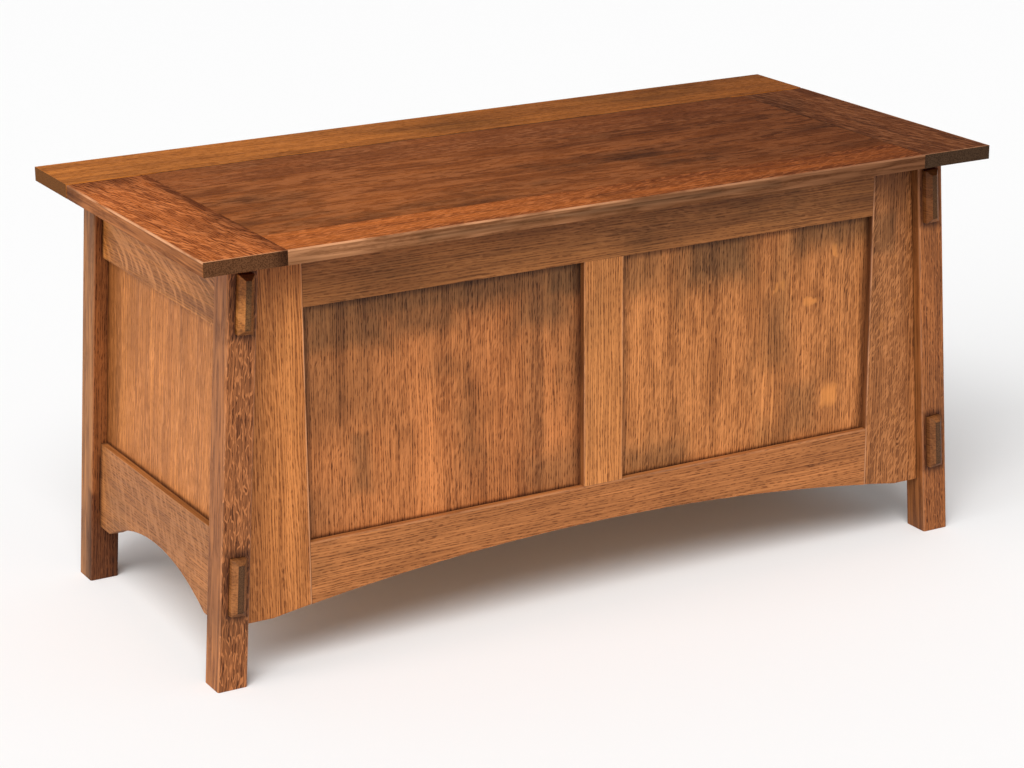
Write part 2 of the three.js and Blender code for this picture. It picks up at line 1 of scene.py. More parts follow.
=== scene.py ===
import math

import bpy
from mathutils import Matrix, Vector


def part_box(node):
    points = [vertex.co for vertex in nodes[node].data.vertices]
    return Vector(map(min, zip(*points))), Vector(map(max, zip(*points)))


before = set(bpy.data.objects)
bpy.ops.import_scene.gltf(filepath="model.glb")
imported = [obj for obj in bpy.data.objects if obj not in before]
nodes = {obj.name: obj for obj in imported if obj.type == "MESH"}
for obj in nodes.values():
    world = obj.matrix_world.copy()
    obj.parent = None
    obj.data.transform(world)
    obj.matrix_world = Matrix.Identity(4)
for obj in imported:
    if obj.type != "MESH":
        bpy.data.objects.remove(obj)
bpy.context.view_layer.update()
scene = bpy.context.scene

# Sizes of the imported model, in metres. Places in X on a post are those at the floor, from where
# it leans in by FLARE.
FLARE = math.tan(math.radians(3.84))
LID_TOP, LID_BOTTOM = 0.56945, 0.5504
FRONT_FRAME_FACE, BACK_FRAME_FACE = -0.22575, 0.21865
STILE_INNER, CENTRE_STILE_HALF = 0.43097, 0.0297
FRONT_TOP_RAIL_BOTTOM, FRONT_ARCHED_RAIL_TOP = 0.4779, 0.1694
SIDE_TOP_RAIL_BOTTOM, SIDE_ARCHED_RAIL_TOP = 0.4565, 0.197
POST_INNER_FRONT, POST_INNER_BACK = -0.19955, 0.19245
POST_FRONT, POST_BACK = -0.24015, 0.23305
POST_OUTER, POST_INNER = 0.5715, 0.5309
TENON_MIDDLE, TENON_HALF = 0.549, 0.0103
TOP_TENON, BOTTOM_TENON, TENON_HALF_HEIGHT = 0.4999, 0.1381, 0.0375
TENON_TIPS, TENON_HALF_PROUD = (-0.2467, 0.2396), 0.0065
LID_SIDE, END_BOARD_INNER = 0.5842, 0.474
LID_FRONT, LID_BACK = -0.28065, 0.16315


def linear(red, green, blue):
    """A colour given in 0-255 sRGB numbers, as the linear RGBA that Blender's sockets take."""
    def channel(value):
        value /= 255
        return value / 12.92 if value <= 0.04045 else ((value + 0.055) / 1.055) ** 2.4
    return channel(red), channel(green), channel(blue), 1.0


# Camera

AZIMUTH, PITCH, ROLL = 0.5134, 0.3147, -0.0074  # radians
EYE = (-1.8053, -3.18245, 1.4356)
LENS, SENSOR = 97.29, 36  # millimetres
forward = Vector((math.sin(AZIMUTH) * math.cos(PITCH), math.cos(AZIMUTH) * math.cos(PITCH),
                  -math.sin(PITCH)))
level_right = Vector((math.cos(AZIMUTH), -math.sin(AZIMUTH), 0))
level_up = level_right.cross(forward)
right = level_right * math.cos(ROLL) + level_up * math.sin(ROLL)
up = level_up * math.cos(ROLL) - level_right * math.sin(ROLL)
camera = bpy.data.objects.new("camera", bpy.data.cameras.new("camera"))
camera.data.lens = LENS
camera.data.sensor_width = SENSOR
camera.matrix_world = (Matrix.Translation(EYE)
                       @ Matrix((right, up, -forward)).transposed().to_4x4())
scene.collection.objects.link(camera)
scene.camera = camera


# Shader graphs

class Graph:
    """Adds nodes to a tree. Wherever a value goes, it may be a socket, a number or a tuple."""

    def __init__(self, tree):
        self.tree = tree

    def feed(self, socket, value):
        if isinstance(value, bpy.types.NodeSocket):
            self.tree.links.new(value, socket)
        else:
            socket.default_value = value

    def node(self, kind, inputs=None, **settings):
        made = self.tree.nodes.new("ShaderNode" + kind)
        for name, value in settings.items():
            setattr(made, name, value)
        for name, value in (inputs or {}).items():
            self.feed(made.inputs[name], value)
        return made

    def math(self, operation, *values):
        return self.node("Math", dict(enumerate(values)), operation=operation).outputs[0]

    def total(self, first, *others):
        for value in others:
            first = self.math("ADD", first, value)
        return first

    def product(self, first, *others):
        for value in others:
            first = self.math("MULTIPLY", first, value)
        return first

    def fade(self, value, start, end):
        """0 at start, 1 at end, smooth between them."""
        made = self.node("MapRange", {"Value": value, "From Min": start, "From Max": end},
                         interpolation_type="SMOOTHSTEP")
        return made.outputs[0]

    def stretch(self, vector, factors):
        return self.node("VectorMath", {0: vector, 1: factors}, operation="MULTIPLY").outputs[0]

    def strongest(self, values):
        """The highest of the values, or 0 where there is none."""
        found = 0.0
        for value in values:
            found = value if found == 0.0 else self.math("MAXIMUM", found, value)
        return found

    def noise(self, vector, factors=(1, 1, 1), detail=2, roughness=0.5, distortion=0, output=0):
        made = self.node("TexNoise", {"Vector": self.stretch(vector, factors), "Scale": 1,
                                      "Detail": detail, "Roughness": roughness,
                                      "Distortion": distortion})
        return made.outputs[output]

    def split(self, vector):
        return self.node("SeparateXYZ", {0: vector}).outputs

    def join(self, x, y, z):
        return self.node("CombineXYZ", {0: x, 1: y, 2: z}).outputs[0]

    def mix(self, factor, first, second, blend="MIX"):
        made = self.node("MixRGB", {0: factor, 1: first, 2: second}, blend_type=blend)
        return made.outputs[0]

    def tinted(self, factor, colour, tint):
        """The colour times the tint, as far as factor says."""
        return self.mix(factor, colour, tint, "MULTIPLY")


def new_group(name, inputs, outputs):
    """A node group, the graph that fills it, its inputs' sockets and its output node."""
    tree = bpy.data.node_groups.new(name, "ShaderNodeTree")
    for label, kind, default in inputs:
        made = tree.interface.new_socket(label, in_out="INPUT", socket_type="NodeSocket" + kind)
        if default is not None:
            made.default_value = default
    for label, kind in outputs:
        tree.interface.new_socket(label, in_out="OUTPUT", socket_type="NodeSocket" + kind)
    graph = Graph(tree)
    return tree, graph, tree.nodes.new("NodeGroupInput").outputs, tree.nodes.new("NodeGroupOutput")


# What the stained wood is multiplied by, from its darkest to its palest.
FINE_GRAIN = (0.56, 0.5, 0.43, 1), (1.38, 1.44, 1.5, 1)
BROAD_GRAIN = (0.56, 0.54, 0.52, 1), (1.44, 1.46, 1.48, 1)
END_GRAIN = (0.4, 0.47, 0.64, 1), (0.2, 0.22, 0.28, 1)  # between the pores, and in them
IN_PORES, ON_FLAKES = (0.42, 0.34, 0.28, 1), (1.45, 1.5, 1.3, 1)
BLOTCHED, STAINED = (0.47, 0.5, 0.5, 1), (0.26, 0.33, 0.39, 1)
# The last of these darkens for dark glaze and for painted shade: the shadow under the lid, and
# shade in corners, recesses and on faces turned from the light.
GLAZE_AND_SHADE = (0.18, 0.13, 0.12, 1)
# Colours of their own. The rubbed one stands for stain rubbed thin and for a painted highlight on
# the arrises.
RAY_WOOD, RUBBED_AND_HIGHLIT_WOOD = (0.6, 0.28, 0.11, 1), (0.7, 0.33, 0.16, 1)

RING_RATE, RING_SWAY = 1750, 22  # radians in a metre, and what an uneven stretch adds
BOARD_SHIFT = 1.7  # metres of grain between the boards of a panel, at the most
RAY_WANDER, RAY_DEPTH_RATE = 0.009, 60  # metres across, and waves in a metre through the board


def oak_group():
    """Quarter-sawn oak under stain and glaze, with painted shade and painted highlights on it.
    Place is
    in metres: X along the grain, Y across the board, Z through it, and the noise is so many waves
    in a metre of each. Face is 1 where the board's broad face shows, and Patch 1 where rays lie
    bare.
    The glaze input darkens the wood for dark glaze and for painted shade, and the rubbed input
    lightens it for rubbed stain and for a painted highlight. Height is for a bump."""
    tree, g, given, out = new_group("quarter_sawn_oak", [
        ("Place", "Vector", None),
        ("Tone", "Color", (0.4, 0.16, 0.05, 1)),
        ("Edge Tone", "Color", (0.4, 0.16, 0.05, 1)),
        ("Warp", "Float", 0.008),
        ("Rings", "Float", 1.0),
        ("Bands", "Float", 1.0),
        ("Pores", "Float", 1.0),
        ("Flecks", "Float", 0.3),
        ("Fleck Rate Along", "Float", 60.0),
        ("Fleck Rate Across", "Float", 300.0),
        ("Fleck Tilt", "Float", 0.0),
        ("Fleck Bow", "Float", 0.0),
        ("Fleck Cover", "Float", 0.5),
        ("Fleck Light", "Float", 1.5),
        ("Ribbons", "Float", 0.0),
        ("Flakes", "Float", 0.0),
        ("Patch", "Float", 0.0),
        ("Blotches", "Float", 0.5),
        ("Glue Width", "Float", 10.0),
        ("Stain", "Float", 0.0),
        ("Glaze", "Float", 0.0),
        ("End", "Float", 0.0),
        ("Face", "Float", 1.0),
        ("Rubbed", "Float", 0.0),
    ], [("Color", "Color"), ("Roughness", "Float"), ("Height", "Float")])
    place = given["Place"]
    x, y, z = g.split(place)

    # A panel is glued up from boards, each with its own tone and its own stretch of grain.
    strip = g.math("FLOOR", g.math("DIVIDE", y, given["Glue Width"]))
    own = g.node("TexWhiteNoise", {"W": strip}, noise_dimensions="1D").outputs["Value"]
    x_own = g.total(x, g.product(own, BOARD_SHIFT))

    drift = g.noise(g.join(x_own, y, z), (2.1, 8, 8), detail=1, output=1)
    sway = g.node("SeparateColor", {0: drift}).outputs
    across = g.total(y, g.product(g.math("SUBTRACT", sway[0], 0.5), given["Warp"]))
    through = g.total(z, g.product(g.math("SUBTRACT", sway[1], 0.5), given["Warp"]))
    grain = g.join(x_own, across, through)

    # Growth rings stand square to the face, so that they show there as straight lines.
    uneven = g.noise(grain, (7, 80, 80), detail=2)
    rings = g.math("SINE", g.total(g.product(across, RING_RATE), g.product(uneven, RING_SWAY)))
    rings = g.total(0.5, g.product(rings, 0.5))
    lines = g.noise(grain, (6, 430, 430), detail=2, roughness=0.6)
    bands = g.noise(grain, (1.6, 45, 45), detail=2)
    tone = g.noise(grain, (4, 14, 14), detail=3, roughness=0.55)
    pores = g.product(g.fade(g.noise(grain, (110, 640, 640), detail=1), 0.47, 0.6),
                      g.fade(rings, 0.2, 0.75), g.total(0.35, g.product(given["Face"], 0.65)))

    # Medullary rays, on the broad faces only: short pale flecks, or wavy ribbons that join up.
    bowed = g.total(x_own, g.product(across, given["Fleck Tilt"], -1), given["Fleck Bow"])
    tilted = g.total(across, g.product(x_own, given["Fleck Tilt"]))
    wander = g.noise(grain, (40, 120, 120), detail=1)
    wander = g.product(g.math("SUBTRACT", wander, 0.5), RAY_WANDER)
    ray_place = g.join(g.product(bowed, given["Fleck Rate Along"]),
                       g.product(g.total(tilted, wander), given["Fleck Rate Across"]),
                       g.product(through, RAY_DEPTH_RATE))
    rays = g.noise(ray_place, detail=1, roughness=0.4)
    ribbons = g.fade(g.math("ABSOLUTE", g.math("SUBTRACT", rays, 0.5)), 0.055, 0.02)
    rays = g.total(g.product(g.fade(rays, 0.5, 0.6), g.math("SUBTRACT", 1, given["Ribbons"])),
                   g.product(ribbons, given["Ribbons"]))
    thicket = g.noise(grain, (8, 24, 24), detail=2)
    cover = g.math("SUBTRACT", 0.75, g.product(given["Fleck Cover"], 0.55))
    thicket = g.fade(thicket, g.math("SUBTRACT", cover, 0.09), g.total(cover, 0.09))
    rays = g.product(rays, thicket, given["Flecks"], given["Face"])

    # Flakes are larger bare rays, scattered over the board or where a patch is.
    flakes = g.noise(grain, (12, 24, 24), detail=4, roughness=0.6, distortion=0.7)
    flakes = g.fade(g.total(flakes, g.product(given["Patch"], 0.22)), 0.64, 0.7)
    flakes = g.product(flakes, g.math("MAXIMUM", given["Flakes"], given["Patch"]), given["Face"])

    stained = g.mix(given["Face"], given["Edge Tone"], given["Tone"])
    shade = g.total(0.5, g.product(g.math("SUBTRACT", lines, 0.5), 1.7),
                    g.product(g.math("SUBTRACT", 0.5, rings), 0.4, given["Rings"]),
                    g.product(g.math("SUBTRACT", bands, 0.5), 1.1, given["Bands"]),
                    g.product(g.math("SUBTRACT", own, 0.5), 0.5))
    wood = g.tinted(1, stained, g.mix(shade, *FINE_GRAIN))
    wood = g.tinted(1, wood, g.mix(tone, *BROAD_GRAIN))
    flakes = g.product(flakes, g.total(0.4, g.product(lines, 0.6)))
    pores = g.product(pores, given["Pores"], g.math("SUBTRACT", 1, flakes))
    wood = g.tinted(pores, wood, IN_PORES)
    pale = g.node("VectorMath", {0: given["Tone"], "Scale": given["Fleck Light"]},
                  operation="SCALE").outputs[0]
    pale = g.mix(0.25, pale, RAY_WOOD)
    wood = g.mix(rays, wood, pale)
    wood = g.mix(flakes, wood, g.tinted(1, given["Tone"], ON_FLAKES))

    # Stain that has pooled in blotches, and arrises where it is rubbed thin and a highlight is
    # painted.
    cloud = g.noise(place, (5, 10, 10), detail=4, roughness=0.62)
    blotch = g.product(g.fade(cloud, 0.5, 0.72), given["Blotches"])
    wood = g.tinted(blotch, wood, BLOTCHED)
    wood = g.tinted(given["Stain"], wood, STAINED)
    wood = g.mix(given["Rubbed"], wood, RUBBED_AND_HIGHLIT_WOOD)

    # End grain drinks the stain: nearly black pores on a dark grey-brown. Over all lies the
    # dark glaze that is left in corners, and painted shade: the shadow of the lid, and shade in
    # recesses and on faces turned from the light.
    dots = g.fade(g.noise(place, (500, 700, 700), detail=2), 0.42, 0.62)
    end_wood = g.tinted(1, given["Edge Tone"], g.mix(dots, *END_GRAIN))
    wood = g.mix(given["End"], wood, end_wood)
    glaze_and_shade = g.product(given["Glaze"], g.math("SUBTRACT", 1, g.product(rays, 0.15)))
    wood = g.tinted(glaze_and_shade, wood, GLAZE_AND_SHADE)

    rough = g.total(0.46, g.product(pores, 0.16), g.product(lines, 0.1), g.product(rays, -0.1),
                    g.product(given["Glaze"], 0.12), g.product(given["End"], 0.15))
    height = g.total(g.product(pores, -0.8), g.product(lines, 0.4))
    g.feed(out.inputs["Color"], wood)
    g.feed(out.inputs["Roughness"], rough)
    g.feed(out.inputs["Height"], height)
    return tree


OAK = oak_group()

# How a board lies: the axes that run along, across and through it. L is X on the slope of the
# posts: it keeps one value up a post's face.
LIES = {
    "front_upright": "ZXY", "post": "ZLY", "side_upright": "ZYL", "side_level": "YZL",
    "front_level": "XZY", "lid_long": "XYZ", "lid_cross": "YXZ",
}

# How squarely a face looks along the grain to be end grain, and through the board to be its
# broad face: not at all, and wholly.
END_FADE, FACE_FADE = (0.75, 0.9), (0.6, 0.8)
# A distance from a line of glaze and painted shade is multiplied by the first number plus noise
# times the second, so that it ends unevenly.
EVEN, UNEVEN, UNEVEN_RATE = 0.55, 0.9, 45
# Where a rubbed arris with its painted highlight begins, and where it is rubbed and highlit all
# the way.
RUB_HIGHLIGHT_START, RUB_HIGHLIGHT_FULL = 0.0028, 0.0015
OAK_BUMP = {"Strength": 0.4, "Distance": 0.0003}
METAL_BUMP = {"Strength": 0.2, "Distance": 0.0001}


def oak(node, lies, tone, edge_tone=None, side=0, glaze_and_shade=(), glaze_and_shade_faces=(), glaze_and_shade_pools=(),
        stains=(), patches=(), rubbed_and_highlit=(), rub_and_highlight=0.3, arc=0, gloss=0.22, seed=0,
        rounding=0.0009, **figure):
    """Gives a CAD node its own board of oak.

    side is -1 or 1 for the end of the chest that it is at. glaze_and_shade lists (axis, place,
    width, strength) for dark glaze and painted shade that fade away from a line,
    glaze_and_shade_faces (axis, sign, strength) for dark glaze and painted shade on the faces that
    look along that axis, and glaze_and_shade_pools (axis, centre, half, axis, centre, half, width,
    strength) for dark glaze and painted shade on and round a rectangle. A half below 0 keeps it
    short of its full strength. stains and patches are rectangles like those, of dark stain and of
    bare rays. rubbed_and_highlit lists (axis, place, axis, place) for arrises where the stain is
    rubbed thin and a highlight is painted, by rub_and_highlight. arc bends the flecks across the
    board, and figure holds the group's other inputs."""
    material = bpy.data.materials.new("oak_" + node)
    material.use_nodes = True
    g = Graph(material.node_tree)
    shader = g.tree.nodes["Principled BSDF"]
    coordinates = g.node("TexCoord")
    axes = dict(zip("XYZ", g.split(coordinates.outputs["Object"])))
    axes["L"] = g.total(axes["X"], g.product(axes["Z"], side * FLARE)) if side else axes["X"]
    facing = dict(zip("XYZ", g.split(coordinates.outputs["Normal"])))
    facing["L"] = facing["X"]
    # Each seed takes its own place in the noise.
    offset = (3.7 * math.sin(seed * 1.9 + 1), 2.9 * math.cos(seed * 2.7),
              2.3 * math.sin(seed * 4.3))
    board = g.node("VectorMath", {0: g.join(*(axes[a] for a in LIES[lies])), 1: offset},
                   operation="ADD").outputs[0]

    def distance(axis, line):
        return g.math("ABSOLUTE", g.math("SUBTRACT", axes[axis], line))

    ragged = g.noise(g.stretch(board, (0.3, 1, 1)), (UNEVEN_RATE,) * 3, detail=3)
    swing = g.total(EVEN, g.product(ragged, UNEVEN))
    masks = []
    for axis, line, width, strength in glaze_and_shade:
        near = g.fade(g.product(distance(axis, line), swing), width, 0)
        masks.append(g.product(near, strength))
    for axis, sign, strength in glaze_and_shade_faces:
        turned = g.fade(g.product(facing[axis], sign), 0.3, 0.7)
        masks.append(g.product(turned, swing, strength))

    def pool(axis, centre, half, axis_2, centre_2, half_2, width, strength):
        away = g.math("MAXIMUM", g.math("SUBTRACT", distance(axis, centre), half),
                      g.math("SUBTRACT", distance(axis_2, centre_2), half_2))
        return g.product(g.fade(g.product(away, swing), width, 0), strength)

    def arris(axis, line, axis_2, line_2):
        away = g.total(distance(axis, line), distance(axis_2, line_2))
        return g.product(g.fade(away, RUB_HIGHLIGHT_START, RUB_HIGHLIGHT_FULL), g.fade(ragged, 0.25, 0.6), rub_and_highlight)

    masks.extend(pool(*place) for place in glaze_and_shade_pools)
    wood = g.node("Group", node_tree=OAK)
    if arc:
        axis = LIES[lies][1]
        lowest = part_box(node)[0]["XYZ".index(axis)]
        away = g.math("SUBTRACT", axes[axis], lowest)
        figure["fleck_bow"] = g.product(away, away, arc)
    inputs = {"Place": board, "Tone": tone, "Edge Tone": edge_tone or tone,
              "Glaze": g.strongest(masks),
              "Rubbed": g.strongest([arris(*place) for place in rubbed_and_highlit]),
              "Stain": g.strongest([pool(*place) for place in stains]),
              "Patch": g.strongest([pool(*place) for place in patches]),
              "End": g.fade(g.math("ABSOLUTE", facing[LIES[lies][0]]), *END_FADE),
              "Face": g.fade(g.math("ABSOLUTE", facing[LIES[lies][2]]), *FACE_FADE)}
    inputs.update((name.replace("_", " ").title(), value) for name, value in figure.items())
    for name, value in inputs.items():
        g.feed(wood.inputs[name], value)
    g.feed(shader.inputs["Base Color"], wood.outputs["Color"])
    g.feed(shader.inputs["Roughness"], wood.outputs["Roughness"])
    shader.inputs["Specular IOR Level"].default_value = gloss
    bump = g.node("Bump", {**OAK_BUMP, "Height": wood.outputs["Height"]})
    g.feed(shader.inputs["Normal"], bump.outputs[0])
    wear(node, material)
    ease(node, rounding)


def wear(node, material):
    """The node shows this material all over."""
    mesh = nodes[node].data
    mesh.materials.clear()
    mesh.materials.append(material)


MERGE_WITHIN = 1e-5
FLAT_WITHIN, HARD_FROM = math.radians(0.5), math.radians(25)


def ease(node, width):
    """Rounds a node's hard edges a little. Weld and a planar decimate come first, because the
    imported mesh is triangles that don't share corners."""
    piece = nodes[node]
    piece.modifiers.new("weld", "WELD").merge_threshold = MERGE_WITHIN
    flatten = piece.modifiers.new("flatten", "DECIMATE")
    flatten.decimate_type = "DISSOLVE"
    flatten.angle_limit = FLAT_WITHIN
    bevel = piece.modifiers.new("ease", "BEVEL")
    bevel.width = width
    bevel.segments = 2
    bevel.limit_method = "ANGLE"
    bevel.angle_limit = HARD_FROM
    bevel.harden_normals = True


# Boards

TONES = {
    "stile": linear(194, 120, 61), "centre": linear(186, 117, 61),
    "rail": linear(162, 101, 51), "arched": linear(170, 105, 56),
    "panel_left": linear(180, 108, 56), "panel_right": linear(189, 118, 62),
    "figured": linear(163, 101, 54), "side_panel": linear(191, 118, 56),
    "side_rail": linear(177, 110, 50), "side_arched": linear(147, 91, 46),
    "post": linear(128, 73, 36), "plain_post": linear(156, 91, 44),
    "post_edge": linear(162, 99, 50), "back_post_edge": linear(144, 91, 47),
    "strip": linear(174, 101, 39), "lid_dark": linear(142, 76, 32),
    "lid_panel": linear(137, 72, 26), "lid_rail": linear(178, 94, 35),
    "lid_end_left": linear(176, 92, 36), "lid_end_right": linear(130, 70, 30),
    "lid_edge": linear(170, 116, 78), "lid_edge_left": linear(158, 96, 52),
    "lid_edge_right": linear(156, 113, 73), "inner": linear(196, 150, 100),
}


def darker_right(strength):
    """Darkening for the boards of the top, which get darker towards the chest's right end."""
    width = 1.15
    return "X", LID_SIDE, width, strength


def tenon_painted_shade(sign, height, left, right, top, bottom, shade=0.0, reach=0.0):
    """Painted shade on the ends of a rail's two tenons: how strong it is on the sides and chamfers
    that look to -X, +X, up and down, and how strong the painted shadow of the lid is and how far
    down it reaches, all round."""
    half, fade, shade_fade = 0.003, 0.003, 0.035
    facets = (("L", sign * TENON_MIDDLE - TENON_HALF + half, half, fade, left),
              ("L", sign * TENON_MIDDLE + TENON_HALF - half, half, fade, right),
              ("Z", height + TENON_HALF_HEIGHT - half, half, fade, top),
              ("Z", height - TENON_HALF_HEIGHT + half, half, fade, bottom),
              ("Z", height + TENON_HALF_HEIGHT, reach, shade_fade, shade))
    return [("Y", tip, TENON_HALF_PROUD, *facet) for tip in TENON_TIPS for facet in facets
            if facet[-1] > 0]


# Where a front panel is darker in patches, and the back one behind it.
PANEL_STAINS = {
    "left": [("X", -0.39, 0.03, "Z", 0.42, 0.07, 0.08, 0.4),
             ("X", -0.2, 0.25, "Z", 0.48, 0.02, 0.05, 0.8),
             ("X", -0.37, 0.04, "Z", 0.46, 0.03, 0.05, 0.75),
             ("X", -0.26, 0.03, "Z", 0.455, 0.02, 0.04, 0.65),
             ("X", -0.085, 0.02, "Z", 0.45, 0.03, 0.05, 0.72),
             ("X", -0.42, 0.01, "Z", 0.19, 0.02, 0.04, 0.3),
             ("X", -0.05, 0.02, "Z", 0.47, 0.02, 0.05, 0.9),
             ("X", -0.1, 0.006, "Z", 0.32, 0.08, 0.025, 0.3),
             ("X", -0.352, 0.004, "Z", 0.26, 0.03, 0.022, 0.5),
             ("X", -0.07, 0.02, "Z", 0.19, 0.01, 0.05, 0.5)],
    "right": [("X", 0.185, 0.03, "Z", 0.46, 0.018, 0.05, 0.75),
              ("X", 0.37, 0.05, "Z", 0.475, 0.01, 0.045, 0.65),
              ("X", 0.055, 0.015, "Z", 0.46, 0.02, 0.035, 0.4),
              ("X", 0.285, 0.006, "Z", 0.33, 0.03, 0.035, 0.35),
              ("X", 0.325, 0.01, "Z", 0.215, 0.02, 0.03, 0.4),
              ("X", 0.09, 0.03, "Z", 0.175, 0.01, 0.04, 0.5)],
}

# Where rays lie bare in broad patches on those panels.
PANEL_RAYS = {
    "left": [],
    "right": [("X", 0.371, 0.004, "Z", 0.227, 0.003, 0.022, 0.95),
              ("X", 0.375, 0.001, "Z", 0.435, 0.004, 0.014, 0.9),
              ("X", 0.337, 0.008, "Z", 0.369, 0.001, 0.01, 0.85),
              ("X", 0.286, 0.005, "Z", 0.397, 0.003, 0.013, 0.85)],
}

# Where the stain lies dark on a front post: the height, half of it, the fade and how strong.
POST_STAINS = {"left": (0.085, 0.006, 0.03, 0.2), "right": (0.215, 0.02, 0.03, 0.2)}

# The left stiles are plain, the right ones figured.
STILES = {
    "left": {"tone": TONES["stile"], "flecks": 0.3, "fleck_tilt": 0.12, "fleck_cover": 0.5,
             "fleck_rate_along": 60, "fleck_rate_across": 300, "flakes": 0.0, "blotches": 0.3},
    "right": {"tone": TONES["figured"], "flecks": 0.55, "fleck_tilt": -0.4, "fleck_cover": 0.65,
              "fleck_rate_along": 85, "fleck_rate_across": 420, "flakes": 0.7, "blotches": 0.9,
              "stains": [("X", 0.45, 0.008, "Z", 0.45, 0.018, 0.02, 0.45)]},
}
# How strong the painted shadow of the lid is on each stile.
STILE_SHADE = {"left": 0.45, "right": 0.75}

# Only the front left post is figured.
FIGURED_POST = {"tone": TONES["post"], "flecks": 1.0, "fleck_light": 2.3}
PLAIN_POST = {"tone": TONES["plain_post"], "flecks": 0.4, "fleck_light": 1.7}

# The painted shade on each rail's tenon ends, as the tenon function above takes it, from left on.
TENON_PAINTED_SHADE = {
    "left": {"top": (0.0, 0.5, 0.0, 0.4, 0.45, 0.015), "bottom": (0.3, 0.4, 0.4, 0.5)},
    "right": {"top": (0.85, 0.6, 0.6, 0.6, 0.55, 0.08), "bottom": (0.45, 0.5, 0.2, 0.4)},
}

seed = 0
for wall, face in (("front", FRONT_FRAME_FACE), ("back", BACK_FRAME_FACE)):
    for side, sign in (("left", -1), ("right", 1)):
        seed += 1
        oak(f"{wall}_stile_{side}", "front_upright", **STILES[side], side=sign, seed=seed,
            pores=0.75, rub_and_highlight=0.6,
            # Dark glaze and painted shade in the corner at the post, the painted shadow of the
            # lid, and dark glaze and painted shade on the faces that look to the panel.
            glaze_and_shade=[("L", sign * POST_INNER, 0.005, 0.75),
                   ("Z", LID_BOTTOM, 0.075, STILE_SHADE[side])],
            glaze_and_shade_faces=[("X", -sign, 0.7)],
            # The arris at the panel is rubbed thin, with a painted highlight along it.
            rubbed_and_highlit=[("X", sign * STILE_INNER, "Y", face)])
        seed += 1
        oak(f"{wall}_panel_{side}", "front_upright", TONES["panel_" + side], side=sign, seed=seed,
            warp=0.014, pores=0.95, flecks=0.5, fleck_rate_along=65, fleck_rate_across=460,
            fleck_tilt=-0.16, fleck_cover=0.6, fleck_light=1.6, ribbons=0.2,
            blotches=0.6, glue_width=0.135, bands=1.5, stains=PANEL_STAINS[side],
            patches=PANEL_RAYS[side],
            # Dark glaze and painted shade along the stiles and rails round the panel.
            glaze_and_shade=[("X", sign * STILE_INNER, 0.014, 0.9),
                   ("X", sign * CENTRE_STILE_HALF, 0.016, 0.9),
                   ("Z", FRONT_TOP_RAIL_BOTTOM, 0.012, 0.7),
                   ("Z", FRONT_ARCHED_RAIL_TOP, 0.006, 0.95)])
    seed += 1
    oak(f"{wall}_center_stile", "front_upright", TONES["centre"], seed=seed, flecks=0.15,
        pores=0.8,
        # Dark glaze and painted shade on the faces that look to the panels.
        glaze_and_shade_faces=[("X", -1, 0.7), ("X", 1, 0.7)],
        # Both arrises at the panels are rubbed thin, with a painted highlight.
        rubbed_and_highlit=[("X", CENTRE_STILE_HALF, "Y", face), ("X", -CENTRE_STILE_HALF, "Y", face)])
    seed += 1
    oak(f"{wall}_top_rail", "front_level", TONES["rail"], seed=seed, flecks=0.3, fleck_tilt=0.15,
        pores=0.6, rings=0.5, bands=0.5,
        # The painted shadow of the lid.
        glaze_and_shade=[("Z", LID_BOTTOM, 0.075, 0.45)])
    seed += 1
    oak(f"{wall}_arched_rail", "front_level", TONES["arched"], seed=seed, flecks=0.12,
        pores=0.85, rings=0.5,
        # The top arris is rubbed thin, with a painted highlight.
        rubbed_and_highlit=[("Z", FRONT_ARCHED_RAIL_TOP, "Y", face)])

